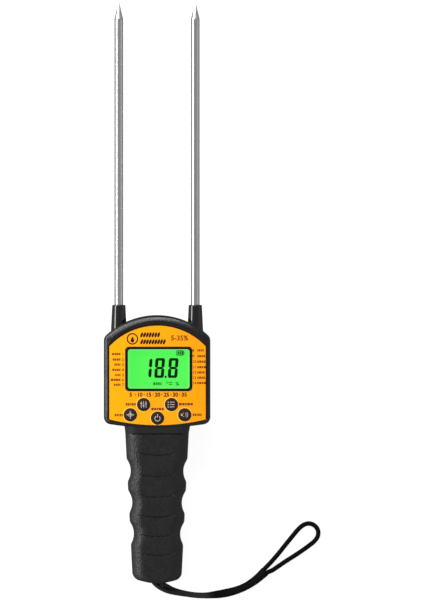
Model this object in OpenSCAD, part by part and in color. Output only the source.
// Hand-held moisture meter for grain: two long steel probes, a display head and a grip.
// The meter lies on its back. +Y runs along the probes, +Z comes out of the display,
// and Z = 0 is the flat back of the head. Distances called "y" below are measured from the
// end of the grip; place() moves them so that the origin is under the middle of the length.

/* [Overall] */
// Length from the end of the grip to the probe points
total_len = 465; // [440:1:490]
// Width of the head
head_w = 85.4; // [84:0.2:90]
// Depth of the head, from its flat back to the crest of its front rim
head_depth = 36; // [36:0.5:38]
// Height of the joint between the two shells, which is also the height of the probes
joint_z = 17; // [16.8:0.1:17.2]
// Wall thickness of the shells
wall = 2.2; // [2:0.1:2.4]

/* [Head outline] */
// Lowest point of the head, above the end of the grip
head_low = 124; // [123:0.5:125]
// Highest point of the head
head_high = 214.4; // [213:0.2:216]
// Radius of the arched top
top_arc = 60; // [58:0.5:64]
// Radius of the shallow lower edge
low_arc = 250; // [220:5:300]
// Radius of the four corners
head_corner = 6; // [4:0.5:8]

/* [Face label] */
// Width of the label
label_w = 78.8; // [77:0.2:79]
// Lowest and highest points of the label
label_low = 125.6; // [125.4:0.1:126]
label_high = 206.9; // [205:0.1:207.2]
// Radii of the label's arched top and bottom
label_top_arc = 54; // [52:0.5:56]
label_low_arc = 165; // [150:5:200]
// Thickness of the label
label_t = 0.5; // [0.4:0.1:0.6]

/* [Display] */
// Sideways offset of the display from the middle of the head
lcd_x = 1; // [0:0.1:1]
// Middle of the display, above the end of the grip
lcd_y = 171.4; // [171:0.1:172]
// Size that shows inside the frame
lcd_w = 49.2; // [48:0.2:49.4]
lcd_h = 31.4; // [30:0.2:31.6]
// Width of the black frame round it
lcd_border = 1.5; // [1.2:0.1:1.6]

/* [Keys] */
// Diameter of a key
key_d = 10.2; // [9.6:0.1:10.4]
// How far a key travels
key_travel = 0.5; // [0.4:0.1:0.6]

/* [Grip] */
// Half width of the grip at its end, before the corners are rounded
grip_half = 19.4; // [19:0.1:20]
// Gain in half width for each millimetre towards the head
grip_taper = 0.05; // [0.045:0.001:0.055]
// Lowest and highest surfaces of the grip
grip_back = 1; // [0.8:0.1:1.2]
grip_front = 31.4; // [31:0.1:32]
// Depth of each finger groove
groove_depth = 2.8; // [2:0.1:3]

/* [Probes] */
// Distance between the two probes
probe_pitch = 61.2; // [60:0.2:62]
// Diameter of a probe
probe_d = 7; // [6:0.1:7.4]
// Wall of the probe tube
probe_wall = 1; // [0.8:0.1:1.2]
// Length of the point
point_len = 14; // [10:0.5:18]
// Mouth of the collar, above the end of the grip
collar_high = 222.5; // [220:0.5:225]

/* [Battery cells] */
// Diameter and length of a cell
cell_d = 10.5; // [10.2:0.1:10.5]
cell_len = 44.5; // [44:0.1:44.6]

/* [Wrist strap] */
// Diameter of the braided cord
strap_d = 3.8; // [3.4:0.1:4]

/* [Hidden] */
$fn = 48;
eps = 0.01;
big = 400;
slip = 0.15;                 // gap round a piece that drops into an opening
touch = 0.02;                // gap round a piece that is pushed in

// Levels in the head, from the front
label_top = head_depth - 1.1;
face_top = label_top - label_t;          // the shell's front wall, under the label
face_low = face_top - wall;
frame_top = label_top + 0.35;
board_t = 1.6;
board_low = joint_z + 5;
board_top = board_low + board_t;
glass_low = board_top + 4;
glass_t = 2.4;
window_flange = 0.8;

// Outline of the head and of the label
top_arc_y = head_high - top_arc;
low_arc_y = head_low + low_arc;
label_corner = 1.5;
head_wall = wall + 0.4;

// Keys: middle of each, as x and y
key_at = [[0, 132.2], [-21.7, 134.8], [-11.1, 143], [11.1, 143], [21.7, 134.8]];
key_r = key_d / 2;
key_flange_r = key_r + 1.1;
key_flange_t = 1.1;
key_top = head_depth;
dome_r = 3;
dome_h = key_travel - 0.05;
dome_t = 0.1;
stem_r = 1.8;

// Grip
grip_high = 131;                          // how far the grip runs into the head
front_edge_r = 10;
back_edge_r = 6.5;
end_arc = 50;                             // radius of the arched end
end_corner = 7;                           // radius of its corners
neck_y = 119.5;                           // where the ramp to the head starts
neck_run = 7;
groove_r = 15;
groove_y = [89.5, 64.2, 39.2];
// Curved lines across the front of the grip; their spacing closes up towards its end
line_first = 102.3;
line_pitch = 17.2;
line_change = 0.25;
line_arc = 60;
line_w = 0.9;
line_depth = 0.4;
line_reach = 14.5;
function grip_w(y) = grip_half + grip_taper * y;

// Battery bay, open at the back of the grip
bay_low = 16.7;
bay_len = 95.5;
bay_half = 10.9;
bay_wall = 1.5;
bay_floor = 13.4;                         // height of the bay's inner face
bay_high = bay_low + bay_len;
cell_z = 8.1;
cell_x = 5.6;
nub_r = 1.9;
nub_h = 0.8;
bump_h = 1.2;                             // raised middle of a contact plate
plate_t = 0.4;
spring_h = bay_len - 2 * cell_len - bump_h - 2 * plate_t;
spring_wire = 0.6;

// Battery door and its hinge
door_half = 12;
door_high = 117;
door_t = 1.8;
hinge_y = 13.5;
barrel_r = 1.5;
hinge_z = grip_back + barrel_r;
pin_r = 0.9;
pin_len = 1.5;
pin_gap = 0.05;
cheek_w = 3;

// Screws
case_screw_at = [[-35.5, 134], [35.5, 134], [-35.5, 180], [35.5, 180], [-12, 7.6], [12, 7.6]];
boss_r = 3.3;
rear_boss_r = 4.1;
case_shank_r = 1.45;
case_head_r = 2.75;
case_head_h = 2;
sunk = 8;                                 // depth of the hole that hides a screw's head
case_screw_high = joint_z + 9;
post_at = [[-30.2, 146], [30.2, 146], [-30.2, 186.5], [30.2, 186.5]];
post_r = 1.9;
post_shank_r = 0.95;

// Circuit board
board_half = 32;
board_y = [128.6, 191];

// Probes and collars
probe_r = probe_d / 2;
root_r = probe_r - 0.1;                   // turned down where the collar grips it
collar_low = 192;
collar_floor = 3;
collar_lip = 0.8;
collar_top_r = 5.3;
collar_low_r = 6.8;
flange_r = 7.5;
rib_t = 3;
stud_r = 2;
stud_len = 9.5;
plug_len = 12;
nut_r = 4.04;
nut_h = 3.2;
lug_t = 0.6;

// Strap: the line between its two strands, as x, y, z, and how far the pair is twisted, in degrees
strap_gap = strap_d / 2 + 0.06;           // half the distance between the two strands
strap_line = [
    [-3.6, 8, 17, 0], [-2.9, 4.9, 17, 0], [-1.3, 1.9, 17, 0], [1.5, -0.9, 16.8, 0], [5.2, -3.2, 15.9, 8],
    [9, -5.1, 14.2, 30], [13.2, -6.7, 11.6, 54], [18.4, -8.1, 8.6, 68], [24.4, -9.3, 6, 76],
    [31, -10.3, 4.5, 78], [38, -10.6, 4.1, 76], [43.5, -10.3, 4.2, 66], [49, -9.7, 3.9, 50],
    [55, -8.7, 3.8, 44], [61, -7.3, 3.8, 48], [67, -5.3, 3.9, 53], [72.5, -2.7, 3.9, 52],
    [77.8, 0.7, 3.8, 46], [82.6, 4.6, 3.6, 38], [87, 8.7, 3, 20]
];
// Strap: the open loop, from one strand round to the other
strap_loop = [
    [93, 9.6, 2], [98, 13, 2], [103.2, 16.5, 2], [108.4, 19.8, 2], [113.5, 23.1, 2], [118.3, 26.4, 2],
    [122.8, 29.7, 2], [126.9, 33.2, 2], [129.4, 37.2, 2], [129.3, 41.9, 2], [126.4, 45.6, 2],
    [121.9, 47, 2], [117.4, 45.6, 2], [113.2, 41.9, 2], [108.4, 36.2, 2], [102.9, 29.4, 2],
    [97.2, 22.3, 2], [91.5, 15.8, 2]
];
sleeve_from = 11;                         // the sleeve covers these points of strap_line
sleeve_to = 19;
sleeve_wall = 0.35;

CASE = "#26272a";
GLOSS = "#141416";
STEEL = "#c3c6ca";

// ---------------------------------------------------------------- helpers

// Moves a piece drawn from the end of the grip to the model's own origin
module place() { translate([0, -total_len / 2, 0]) children(); }

module along_y(y0, y1, x = 0, z = 0) {
    translate([x, y1, z]) rotate([90, 0, 0]) linear_extrude(y1 - y0) children();
}

module slab(z0, z1) { translate([0, 0, z0]) linear_extrude(z1 - z0) children(); }

module box(x, y, z) { translate([x[0], y[0], z[0]]) cube([x[1] - x[0], y[1] - y[0], z[1] - z[0]]); }

module rounded_rect(w, h, r) {
    square([w - 2 * r, h], center = true);
    square([w, h - 2 * r], center = true);
    for (x = [-1, 1], y = [-1, 1]) translate([x * (w / 2 - r), y * (h / 2 - r)]) circle(r);
}

module both_sides() { for (s = [-1, 1]) scale([s, 1, 1]) children(); }

function unit(v) = v / norm(v);
function reversed(list) = [for (i = [len(list) - 1:-1:0]) list[i]];

// Direction of a route at point i, and a direction across it that is level when twist is 0
function heading(path, i) = unit(path[min(i + 1, len(path) - 1)] - path[max(i - 1, 0)]);
function across(path, i, twist, up = [0, 0, 1]) =
    let (t = heading(path, i), s = unit(cross(t, up))) cos(twist) * s + sin(twist) * cross(s, t);

// An oval ring of n points round point i of a route, turned by twist
function ring(path, i, rx, rz, n, up, twist) =
    let (long = across(path, i, twist, up), short = across(path, i, twist + 90, up))
    [for (k = [0:n - 1]) path[i] + rx * cos(360 * k / n) * long + rz * sin(360 * k / n) * short];

// A closed tube of n sides along a route; its section is rx wide and rz high, and twists holds one
// angle for each point
module tube(path, rx, rz, n, up = [0, 0, 1], twists = []) {
    rings = len(path);
    points = [for (i = [0:rings - 1]) each ring(path, i, rx, rz, n, up, len(twists) > 0 ? twists[i] : 0)];
    sides = [for (i = [0:rings - 2], k = [0:n - 1]) let (a = i * n + k, b = i * n + (k + 1) % n)
        each [[a, b, a + n], [b, b + n, a + n]]];
    caps = [[for (k = [n - 1:-1:0]) k], [for (k = [0:n - 1]) (rings - 1) * n + k]];
    polyhedron(points, concat(sides, caps));
}

module wire(path, colour, up = [0, 0, 1]) {
    color(colour) tube(path, 0.7, 0.7, 6, up);
}

// ---------------------------------------------------------------- outlines

module head_outline(inset = 0) {
    offset(r = head_corner, $fn = 24) offset(delta = -head_corner - inset) intersection() {
        translate([0, top_arc_y]) circle(top_arc, $fn = 120);
        translate([-head_w / 2, head_low]) square([head_w, head_high - head_low]);
        translate([0, low_arc_y]) circle(low_arc, $fn = 420);
    }
}

module label_outline(grow = 0) {
    offset(r = label_corner + grow, $fn = 24) offset(delta = -label_corner) intersection() {
        translate([0, label_high - label_top_arc]) circle(label_top_arc, $fn = 120);
        translate([-label_w / 2, label_low]) square([label_w, label_high - label_low]);
        translate([0, label_low + label_low_arc]) circle(label_low_arc, $fn = 300);
    }
}

module grip_outline(inset = 0) {
    offset(r = end_corner, $fn = 48) offset(delta = -end_corner - inset) intersection() {
        polygon([
            [-grip_w(0), 0],
            [grip_w(0), 0],
            [grip_w(grip_high), grip_high],
            [-grip_w(grip_high), grip_high]
        ]);
        union() {
            translate([0, end_arc]) circle(end_arc, $fn = 160);
            translate([-end_arc, end_arc]) square([2 * end_arc, grip_high]);
        }
    }
}

// The finger grooves, as round cutters down both sides of the grip
module finger_grooves(inset = 0) {
    for (y = groove_y, s = [-1, 1])
        translate([s * (grip_w(y) - groove_depth + groove_r), y, -1]) cylinder(r = groove_r + inset, h = 40);
}

// ---------------------------------------------------------------- shells

// Outside of the head: the outline at each height, drawn in by an amount that rounds the edges
module head_body() {
    levels = [[0, 3.4], [0.8, 1.5], [3.4, 0.3], [joint_z, 0], [head_depth - 5, 0.3],
        [head_depth - 1.6, 0.9], [head_depth - 0.5, 1.7], [head_depth, 2.7]];
    hull() for (l = levels) translate([0, 0, min(l[0], head_depth - eps)])
        linear_extrude(eps) head_outline(l[1]);
}

// A bar of rounded section that widens towards the head
module grip_bar(inset) {
    hull() for (y = [-2, grip_high + 2], s = [-1, 1]) {
        translate([s * (grip_w(y) - front_edge_r), y, grip_front - front_edge_r])
            rotate([90, 0, 0]) cylinder(r = front_edge_r - inset, h = eps, $fn = 32);
        translate([s * (grip_w(y) - back_edge_r), y, grip_back + back_edge_r])
            rotate([90, 0, 0]) cylinder(r = back_edge_r - inset, h = eps, $fn = 32);
    }
}

module grip_body(inset = 0) {
    difference() {
        intersection() {
            grip_bar(inset);
            slab(-1, head_depth) grip_outline(inset);
        }
        finger_grooves(inset);
    }
}

// Ramp from the front of the grip up to the rim of the head
module neck() {
    hull() for (s = [-1, 1]) {
        translate([s * (grip_w(neck_y) - front_edge_r), neck_y, grip_front - front_edge_r])
            rotate([-90, 0, 0]) cylinder(r = front_edge_r, h = eps, $fn = 32);
        translate([s * (grip_w(neck_y) - front_edge_r + 1), neck_y + neck_run, 0])
            translate([0, 0, head_depth - 1.4 - front_edge_r])
            rotate([-90, 0, 0]) cylinder(r = front_edge_r, h = eps, $fn = 32);
    }
}

module meter_body() {
    head_body();
    grip_body();
    neck();
}

module cavity() {
    slab(wall, face_low) head_outline(head_wall);
    grip_body(wall);
    box([-20, 20], [grip_high - 14, grip_high + 4], [wall + 1, grip_front - wall]);
}

// Slot in the end of the grip, wide enough for the two strands to leave it at a slant
module strap_slot() {
    gap = strap_d / 2 + 0.35;
    spread = strap_gap + 3.2;
    along_y(-2, 3.4, strap_line[2][0] + 0.9, joint_z) {
        square([2 * spread, 2 * gap], center = true);
        for (s = [-1, 1]) translate([s * spread, 0]) circle(gap);
    }
}

module collar_holes() {
    both_sides() {
        translate([probe_pitch / 2, collar_low, joint_z]) rotate([-90, 0, 0]) cylinder(
            r1 = collar_low_r + slip, r2 = collar_top_r + slip, h = collar_high - collar_low - collar_lip);
        along_y(collar_low - slip, collar_low + collar_floor + slip, probe_pitch / 2, joint_z)
            circle(flange_r + slip);
    }
}

// The rib above the collar's flange, which the hole then passes through
module collar_rib(z0, z1) {
    intersection() {
        both_sides() box([probe_pitch / 2 - 9.5, head_w / 2], [collar_low + collar_floor + slip,
            collar_low + collar_floor + slip + rib_t], [z0, z1]);
        slab(0, head_depth) head_outline(head_wall - 0.5);
    }
}

module front_shell() {
    color(CASE) difference() {
        union() {
            difference() {
                intersection() {
                    meter_body();
                    box([-big, big], [-big, big], [joint_z, big]);
                }
                cavity();
            }
            for (p = case_screw_at) translate([p[0], p[1], joint_z]) cylinder(r = boss_r,
                h = (p[1] < head_low ? grip_front - 0.9 : face_top) - wall - joint_z + 0.4);
            for (p = post_at) translate([p[0], p[1], board_top])
                cylinder(r = post_r, h = face_low - board_top + 0.4);
            collar_rib(joint_z, face_low + 0.4);
        }
        slab(face_top, big) label_outline(slip);
        translate([lcd_x, lcd_y, face_low - 1]) linear_extrude(wall + 2) rounded_rect(lcd_w, lcd_h, 2);
        for (p = key_at) translate([p[0], p[1], face_low - 1]) cylinder(r = key_r + slip, h = wall + 2);
        for (p = case_screw_at) translate([p[0], p[1], joint_z - 1])
            cylinder(r = case_shank_r + touch, h = case_screw_high - joint_z + 2);
        for (p = post_at) translate([p[0], p[1], board_top - 1]) cylinder(r = post_shank_r + touch, h = 6.5);
        collar_holes();
        strap_slot();
        front_grooves();
    }
}

// Shallow curved lines across the front of the grip
module front_grooves() {
    for (i = [0:5]) translate([0, line_first - line_pitch * i + line_change * i * i, 0]) difference() {
        intersection() {
            translate([0, line_arc, grip_front - line_depth]) cylinder(r = line_arc + line_w / 2, h = 2);
            box([-line_reach, line_reach], [-line_w, 4], [grip_front - 1, grip_front + 1]);
        }
        translate([0, line_arc, grip_front - 1]) cylinder(r = line_arc - line_w / 2, h = 3);
    }
}

module rear_shell() {
    color(CASE) difference() {
        union() {
            difference() {
                intersection() {
                    meter_body();
                    box([-big, big], [-big, big], [-big, joint_z]);
                }
                cavity();
            }
            for (p = case_screw_at) translate([p[0], p[1], (p[1] < head_low ? grip_back : 0) + wall - 0.4])
                cylinder(r = rear_boss_r, h = joint_z - (p[1] < head_low ? grip_back : 0) - wall + 0.4);
            collar_rib(wall - 0.4, joint_z);
            both_sides() box([probe_pitch / 2 - 8, probe_pitch / 2 + 8],
                [collar_low - slip - rib_t, collar_low - slip], [wall - 0.4, joint_z]);
            bay_walls();
            both_sides() box([door_half + slip, door_half + slip + cheek_w], [hinge_y - 2.5, hinge_y + 2.5],
                [grip_back + 1.4, hinge_z + 3]);
        }
        for (p = case_screw_at) {
            translate([p[0], p[1], -1]) cylinder(r = case_head_r + slip, h = sunk + 1);
            translate([p[0], p[1], 1]) cylinder(r = case_shank_r + slip, h = joint_z);
        }
        collar_holes();
        both_sides() {
            along_y(collar_low - slip - rib_t - 1, collar_low, probe_pitch / 2, joint_z) circle(nut_r + 1);
            box([probe_pitch / 2 - 10.4, probe_pitch / 2], [collar_low - lug_t - slip, collar_low + eps],
                [joint_z - 1.4, joint_z + eps]);
        }
        strap_slot();
        door_opening();
        box([-bay_half, bay_half], [bay_low, bay_high], [grip_back - 1, bay_floor]);
        for (s = [-1, 1]) box([s * cell_x - 2, s * cell_x + 2], [bay_low - bay_wall - 1, bay_low + 1],
            [bay_floor - 1.2, bay_floor + bay_wall + 1]);
    }
}

module bay_walls() {
    ledge = grip_back + door_t + 0.2;
    box([-bay_half - bay_wall, bay_half + bay_wall], [bay_low - bay_wall, bay_high + bay_wall],
        [ledge, bay_floor + bay_wall]);
    box([-14, 14], [bay_high, door_high + 3], [ledge - 0.4, ledge + 3.4]);
}

// What the door needs: its window, the round seat of its hinge, and the two small bearing holes
module door_opening() {
    top = grip_back + door_t + 0.2;
    box([-door_half - slip, door_half + slip], [hinge_y, door_high + slip], [-1, top]);
    translate([-door_half - slip, hinge_y, hinge_z]) rotate([0, 90, 0])
        cylinder(r = barrel_r + 0.12, h = 2 * (door_half + slip));
    box([-door_half - slip, door_half + slip], [hinge_y - barrel_r - 0.12, hinge_y + 1], [-1, hinge_z]);
    for (s = [-1, 1]) translate([s * (door_half + 1), hinge_y, hinge_z]) rotate([0, 90, 0])
        cylinder(r = pin_r + pin_gap, h = 2 * (pin_len + slip) - 0.3, center = true);
    box([-4.3, 4.3], [bay_high + bay_wall + 0.6, door_high + slip], [top - 1, top + 2.2]);
}

// ---------------------------------------------------------------- face

module face_label() {
    color("#ffab17") slab(face_top, label_top) difference() {
        label_outline();
        translate([lcd_x, lcd_y])
            rounded_rect(lcd_w + 2 * lcd_border + 0.2, lcd_h + 2 * lcd_border - 0.1, 3);
        for (p = key_at) translate(p) circle(key_r + 0.2);
    }
}

module lcd_frame() {
    color(GLOSS) translate([lcd_x, lcd_y]) slab(face_top, frame_top) difference() {
        rounded_rect(lcd_w + 2 * lcd_border, lcd_h + 2 * lcd_border - 0.3, 2.9);
        rounded_rect(lcd_w, lcd_h, 2);
    }
}

// Clear window, with a flange that is bonded under the front wall
module lcd_window() {
    color([0.8, 0.95, 0.85, 0.35]) translate([lcd_x, lcd_y]) {
        slab(face_low - touch, label_top) rounded_rect(lcd_w - 0.2, lcd_h - 0.2, 1.9);
        slab(face_low - window_flange, face_low - touch) rounded_rect(lcd_w + 3, lcd_h + 3, 2.5);
    }
}

module key_place(i) { translate([key_at[i][0], key_at[i][1], 0]) children(); }

// A key: crowned cap, a flange that stops it under the front wall, and a stem down to its dome
module key(i) {
    crown = 0.5;
    crown_r = (key_r * key_r + crown * crown) / (2 * crown);
    color("#2a1512") key_place(i) {
        intersection() {
            slab(face_low - 0.1, key_top) circle(key_r);
            translate([0, 0, key_top - crown_r]) sphere(crown_r);
        }
        slab(face_low - 0.1 - key_flange_t, face_low - 0.1) intersection() {
            circle(key_flange_r);
            translate([-key_flange_r, max(-key_flange_r, head_low + head_wall + 0.5 - key_at[i][1])])
                square(2 * key_flange_r);
        }
        slab(board_top + dome_h + dome_t + 0.05, face_low - 0.1 - key_flange_t) circle(stem_r);
    }
}

// A snap dome: a shallow cap of sheet metal under the key
module dome(i) {
    steps = 6;
    arch = [for (j = [0:steps]) let (r = dome_r * (1 - j / steps)) [r, dome_h * (1 - pow(r / dome_r, 2))]];
    color(STEEL) key_place(i) translate([0, 0, board_top]) rotate_extrude() polygon(concat(
        [for (p = arch) [p[0], p[1] + dome_t]], reversed(arch)));
}

// ---------------------------------------------------------------- electronics

module lcd_glass() {
    color("#5df06a") translate([lcd_x, lcd_y])
        slab(glass_low, glass_low + glass_t) square([53, 36], center = true);
}

module lcd_backlight() {
    color("#d8f7dc") translate([lcd_x, lcd_y])
        slab(board_top + 0.4, glass_low - 0.1) square([50, 28], center = true);
}

module lcd_holder() {
    color("#e8e8e4") translate([lcd_x, lcd_y]) difference() {
        slab(board_top, glass_low + glass_t + 0.8) square([53.8, 39], center = true);
        slab(board_top - 1, glass_low + glass_t + 0.05) square([53.2, 36.2], center = true);
        slab(glass_low, big) rounded_rect(50, 32.4, 1);
    }
}

module zebra_strips() {
    color("#3c3f45") translate([lcd_x, lcd_y]) for (s = [-1, 1])
        translate([0, s * 16.2]) slab(board_top, glass_low) square([48, 2.2], center = true);
}

module circuit_board() {
    color("#1c6b3a") slab(board_low, board_top) difference() {
        union() {
            translate([0, (board_y[0] + board_y[1]) / 2 + 2])
                square([2 * board_half, board_y[1] - board_y[0] - 4], center = true);
            translate([0, board_y[0] + 2]) square([2 * board_half - 8, 4], center = true);
        }
        for (p = post_at) translate(p) circle(1.1);
        for (p = case_screw_at) translate(p) circle(boss_r + 0.4);
    }
}

module under_board(x, y, h) { translate([x, y, board_low - h]) linear_extrude(h) children(); }

module processor_chip() { color("#1a1a1c") under_board(0, 160, 1.6) square([12, 12], center = true); }

module amplifier_chip() { color("#1a1a1c") under_board(-16, 172, 1.5) square([5, 4], center = true); }

module quartz_crystal() { color(STEEL) under_board(12, 160, 3.5) rounded_rect(4.6, 10.8, 2.2); }

module capacitors() {
    color("#2b3c78") {
        under_board(14, 174, 7) circle(2.5);
        under_board(-5, 176, 7) circle(2.5);
        under_board(-17, 160, 5.5) circle(2);
    }
}

module buzzer() {
    color("#161617") under_board(14, 143, 6) difference() {
        circle(6);
        circle(0.9);
    }
}

module battery_connector() { color("#efeee8") under_board(-18, 134, 6) square([7.5, 5], center = true); }

module circuit_board_screws() {
    color(STEEL) for (p = post_at) translate([p[0], p[1], 0]) {
        slab(board_low - 1.3, board_low) circle(1.7);
        slab(board_low, board_top + 5) circle(post_shank_r);
    }
}

module case_screws() {
    color(STEEL) for (p = case_screw_at) translate([p[0], p[1], 0]) difference() {
        union() {
            slab(sunk - case_head_h, sunk) circle(case_head_r);
            slab(sunk, case_screw_high) circle(case_shank_r);
        }
        for (a = [0, 90]) rotate(a) slab(sunk - case_head_h - 1, sunk - case_head_h + 1.1)
            square([3.2, 0.7], center = true);
    }
}

// ---------------------------------------------------------------- probes

module probe_place(s) { translate([s * probe_pitch / 2, 0, joint_z]) rotate([-90, 0, 0]) children(); }

// Steel tube: full diameter outside the collar, turned down inside it
module probe_tube(s) {
    color(STEEL) probe_place(s) difference() {
        union() {
            translate([0, 0, collar_low + collar_floor])
                cylinder(r = root_r, h = collar_high - collar_low - collar_floor);
            translate([0, 0, collar_high]) cylinder(r = probe_r, h = total_len - point_len - collar_high);
        }
        translate([0, 0, collar_low]) cylinder(r = probe_r - probe_wall, h = total_len);
    }
}

module probe_point(s) {
    color(STEEL) probe_place(s) {
        translate([0, 0, total_len - point_len]) cylinder(r1 = probe_r, r2 = 0.15, h = point_len);
        translate([0, 0, total_len - point_len - 10]) cylinder(r = probe_r - probe_wall - touch, h = 10);
    }
}

// Insulating collar: a tapered sleeve with a flange that the shells hold
module collar(s) {
    color(GLOSS) probe_place(s) difference() {
        union() {
            translate([0, 0, collar_low]) cylinder(r = flange_r, h = collar_floor);
            translate([0, 0, collar_low])
                cylinder(r1 = collar_low_r, r2 = collar_top_r, h = collar_high - collar_low - collar_lip);
            translate([0, 0, collar_high - collar_lip])
                cylinder(r1 = collar_top_r, r2 = collar_top_r - collar_lip, h = collar_lip);
        }
        translate([0, 0, collar_low + collar_floor]) cylinder(r = root_r + touch, h = total_len);
        translate([0, 0, collar_low - 1]) cylinder(r = stud_r + 0.1, h = total_len);
    }
}

module probe_studs() {
    color(STEEL) for (s = [-1, 1]) probe_place(s) {
        translate([0, 0, collar_low + collar_floor])
            cylinder(r = probe_r - probe_wall - touch, h = plug_len);
        translate([0, 0, collar_low + collar_floor - stud_len]) cylinder(r = stud_r, h = stud_len);
    }
}

module probe_nuts() {
    color(STEEL) for (s = [-1, 1]) probe_place(s)
        translate([0, 0, collar_low - lug_t - nut_h]) difference() {
            cylinder(r = nut_r, h = nut_h, $fn = 6);
            translate([0, 0, -1]) cylinder(r = stud_r + touch, h = nut_h + 2);
        }
}

// Ring tags under the nuts, each with a tail that its wire is soldered to
module probe_lugs() {
    color("#c9a45a") for (s = [-1, 1]) probe_place(s)
        translate([0, 0, collar_low - lug_t]) linear_extrude(lug_t) difference() {
            union() {
                circle(3.6);
                translate([-s * 6.5, 0]) square([7, 2.4], center = true);
            }
            circle(stud_r + 0.1);
        }
}

module probe_wire(s) {
    x = s * (probe_pitch / 2 - 9.2);
    start = collar_low - lug_t - touch;
    end_x = x - s * 3.6;
    wire([
        [x, start, joint_z],
        [x, start - 2, joint_z],
        [x - s * 1, 186.6, joint_z + 0.6],
        [x - s * 2.6, 184.6, joint_z + 1.6],
        [end_x, 184, joint_z + 3.2],
        [end_x, 184, board_low - touch]
    ], s < 0 ? "#d8d8d8" : "#3f7a4a", [1, 0, 0]);
}

// ---------------------------------------------------------------- battery

// Cells in two columns: the left one points to the head, the right one to the end of the grip
module cell(column, n) {
    from = bay_low + plate_t + (column < 0 ? spring_h : bump_h) + n * cell_len;
    color("#4d6f9f") translate([column * cell_x, from + (column < 0 ? 0 : cell_len), cell_z])
        rotate([column < 0 ? -90 : 90, 0, 0]) {
            cylinder(r = cell_d / 2, h = cell_len - nub_h);
            translate([0, 0, cell_len - nub_h]) cylinder(r = nub_r, h = nub_h);
        }
}

// A tapered coil that pushes on the flat end of a cell
module contact_spring(dir) {
    turns = 3;
    steps = 12;
    path = [for (i = [0:turns * steps])
        let (t = i / (turns * steps), r = 3.6 - 1.6 * t, a = 360 * i / steps)
        [r * cos(a), dir * (spring_wire / 2 + (spring_h - spring_wire) * t), r * sin(a)]];
    tube(path, spring_wire / 2, spring_wire / 2, 6, [0, 1, 0]);
}

module battery_springs() {
    color(STEEL) {
        translate([-cell_x, bay_low + plate_t, cell_z]) contact_spring(1);
        translate([cell_x, bay_high - plate_t, cell_z]) contact_spring(-1);
    }
}

// Two separate plates at the end of the grip and one that joins the columns at the other end
module battery_plates() {
    color(STEEL) {
        for (s = [-1, 1]) {
            box([s * cell_x - 4.6, s * cell_x + 4.6], [bay_low, bay_low + plate_t], [3.4, bay_floor - 0.1]);
            box([s * cell_x - 1.5, s * cell_x + 1.5], [bay_low - bay_wall - 0.6, bay_low + plate_t],
                [bay_floor - 0.6, bay_floor - 0.1]);
        }
        along_y(bay_low + plate_t, bay_low + plate_t + bump_h, cell_x, cell_z) circle(2.2);
        box([-bay_half + 0.5, bay_half - 0.5], [bay_high - plate_t, bay_high], [3.4, bay_floor - 0.1]);
        along_y(bay_high - plate_t - bump_h, bay_high - plate_t, -cell_x, cell_z) circle(2.2);
    }
}

module battery_wire(s) {
    x = s * cell_x;
    tab = bay_low - bay_wall - 0.6;
    lane = bay_floor + 4;
    plug_x = s * 1.9 - 18;
    wire([
        [x, tab - touch, bay_floor - 0.3],
        [x, tab - 1, bay_floor],
        [x * 0.9, tab - 1.3, bay_floor + 2],
        [x * 0.8, tab + 1.5, lane],
        [x * 0.7, tab + 10, lane],
        [x * 0.6, 50, lane],
        [x * 0.6, 85, lane],
        [x * 0.6 - 3, 112, lane],
        [x * 0.5 - 12, 124, lane],
        [plug_x, 128.5, lane],
        [plug_x, 131.5 - touch, lane]
    ], s < 0 ? "#202022" : "#c02a20");
}

// Door over the cells: it turns on two stub pins at the end of the grip and latches near the head
module battery_door() {
    inner = grip_back + door_t;
    color(CASE) difference() {
        union() {
            box([-door_half, door_half], [hinge_y, door_high], [grip_back, inner]);
            translate([-door_half, hinge_y, hinge_z]) rotate([0, 90, 0])
                cylinder(r = barrel_r, h = 2 * door_half);
            translate([-door_half - pin_len, hinge_y, hinge_z]) rotate([0, 90, 0])
                cylinder(r = pin_r, h = 2 * (door_half + pin_len));
            box([-4, 4], [door_high - 2, door_high], [inner - 0.4, inner + 1.6]);
        }
        for (s = [-1, 1]) box([s * 4.6 - 0.4, s * 4.6 + 0.4], [door_high - 12, door_high + 1],
            [-1, inner + 1]);
        for (i = [0:3]) box([-3.2, 3.2], [door_high - 10 + 2 * i, door_high - 9.2 + 2 * i],
            [0, grip_back + 0.4]);
    }
}

// ---------------------------------------------------------------- strap

// One of the two strands that run side by side, twisted about the line between them
function strand(side) = let (line = [for (p = strap_line) [p[0], p[1], p[2]]])
    [for (i = [0:len(line) - 1]) line[i] + side * strap_gap * across(line, i, strap_line[i][3])];

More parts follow.
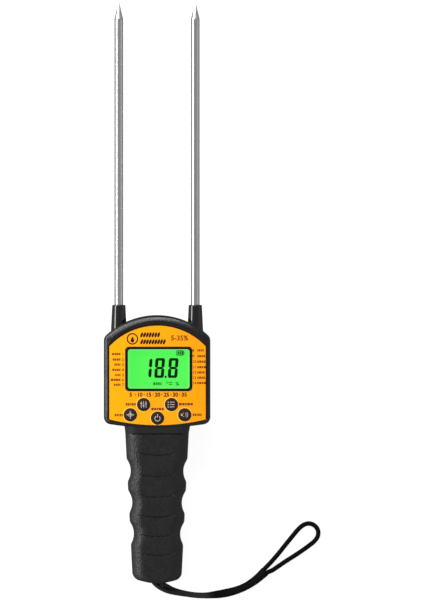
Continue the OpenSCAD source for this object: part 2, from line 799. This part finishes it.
function strap_route() = concat(strand(1), strap_loop, reversed(strand(-1)));

module strap_cord() { color("#151515") tube(strap_route(), strap_d / 2, strap_d / 2, 8); }

// Woven sleeve that binds the two strands up to the loop
module strap_sleeve() {
    reach = strap_gap + strap_d / 2 + sleeve_wall;
    span = [sleeve_from:sleeve_to];
    path = [for (i = span) [strap_line[i][0], strap_line[i][1], strap_line[i][2]]];
    color("#0e0e0f") tube(path, reach, strap_d / 2 + sleeve_wall, 12, [0, 0, 1],
        [for (i = span) strap_line[i][3]]);
}

// Crimped block that keeps both ends of the cord inside the grip
module strap_anchor() {
    x = strap_line[0][0];
    y = strap_line[0][1];
    color(STEEL) box([x - 4.4, x + 4.4], [y, y + 4], [joint_z - 2.8, joint_z + 2.8]);
}

// ---------------------------------------------------------------- the pieces

place() {
    front_shell();
    rear_shell();
    face_label();
    lcd_frame();
    lcd_window();
    lcd_glass();
    lcd_backlight();
    lcd_holder();
    zebra_strips();
    circuit_board();
    processor_chip();
    amplifier_chip();
    quartz_crystal();
    capacitors();
    buzzer();
    battery_connector();
    circuit_board_screws();
    case_screws();
    key(0);  // power_key
    key(1);  // load_key
    key(2);  // adjust_key
    key(3);  // varieties_key
    key(4);  // sound_key
    dome(0);  // power_dome
    dome(1);  // load_dome
    dome(2);  // adjust_dome
    dome(3);  // varieties_dome
    dome(4);  // sound_dome
    probe_tube(-1);  // left_probe_tube
    probe_tube(1);  // right_probe_tube
    probe_point(-1);  // left_probe_point
    probe_point(1);  // right_probe_point
    collar(-1);  // left_collar
    collar(1);  // right_collar
    probe_studs();
    probe_nuts();
    probe_lugs();
    probe_wire(-1);  // left_probe_wire
    probe_wire(1);  // right_probe_wire
    cell(-1, 0);  // battery_cell_1
    cell(-1, 1);  // battery_cell_2
    cell(1, 0);  // battery_cell_3
    cell(1, 1);  // battery_cell_4
    battery_springs();
    battery_plates();
    battery_wire(1);  // battery_wire_red
    battery_wire(-1);  // battery_wire_black
    battery_door();
    strap_cord();
    strap_sleeve();
    strap_anchor();
}
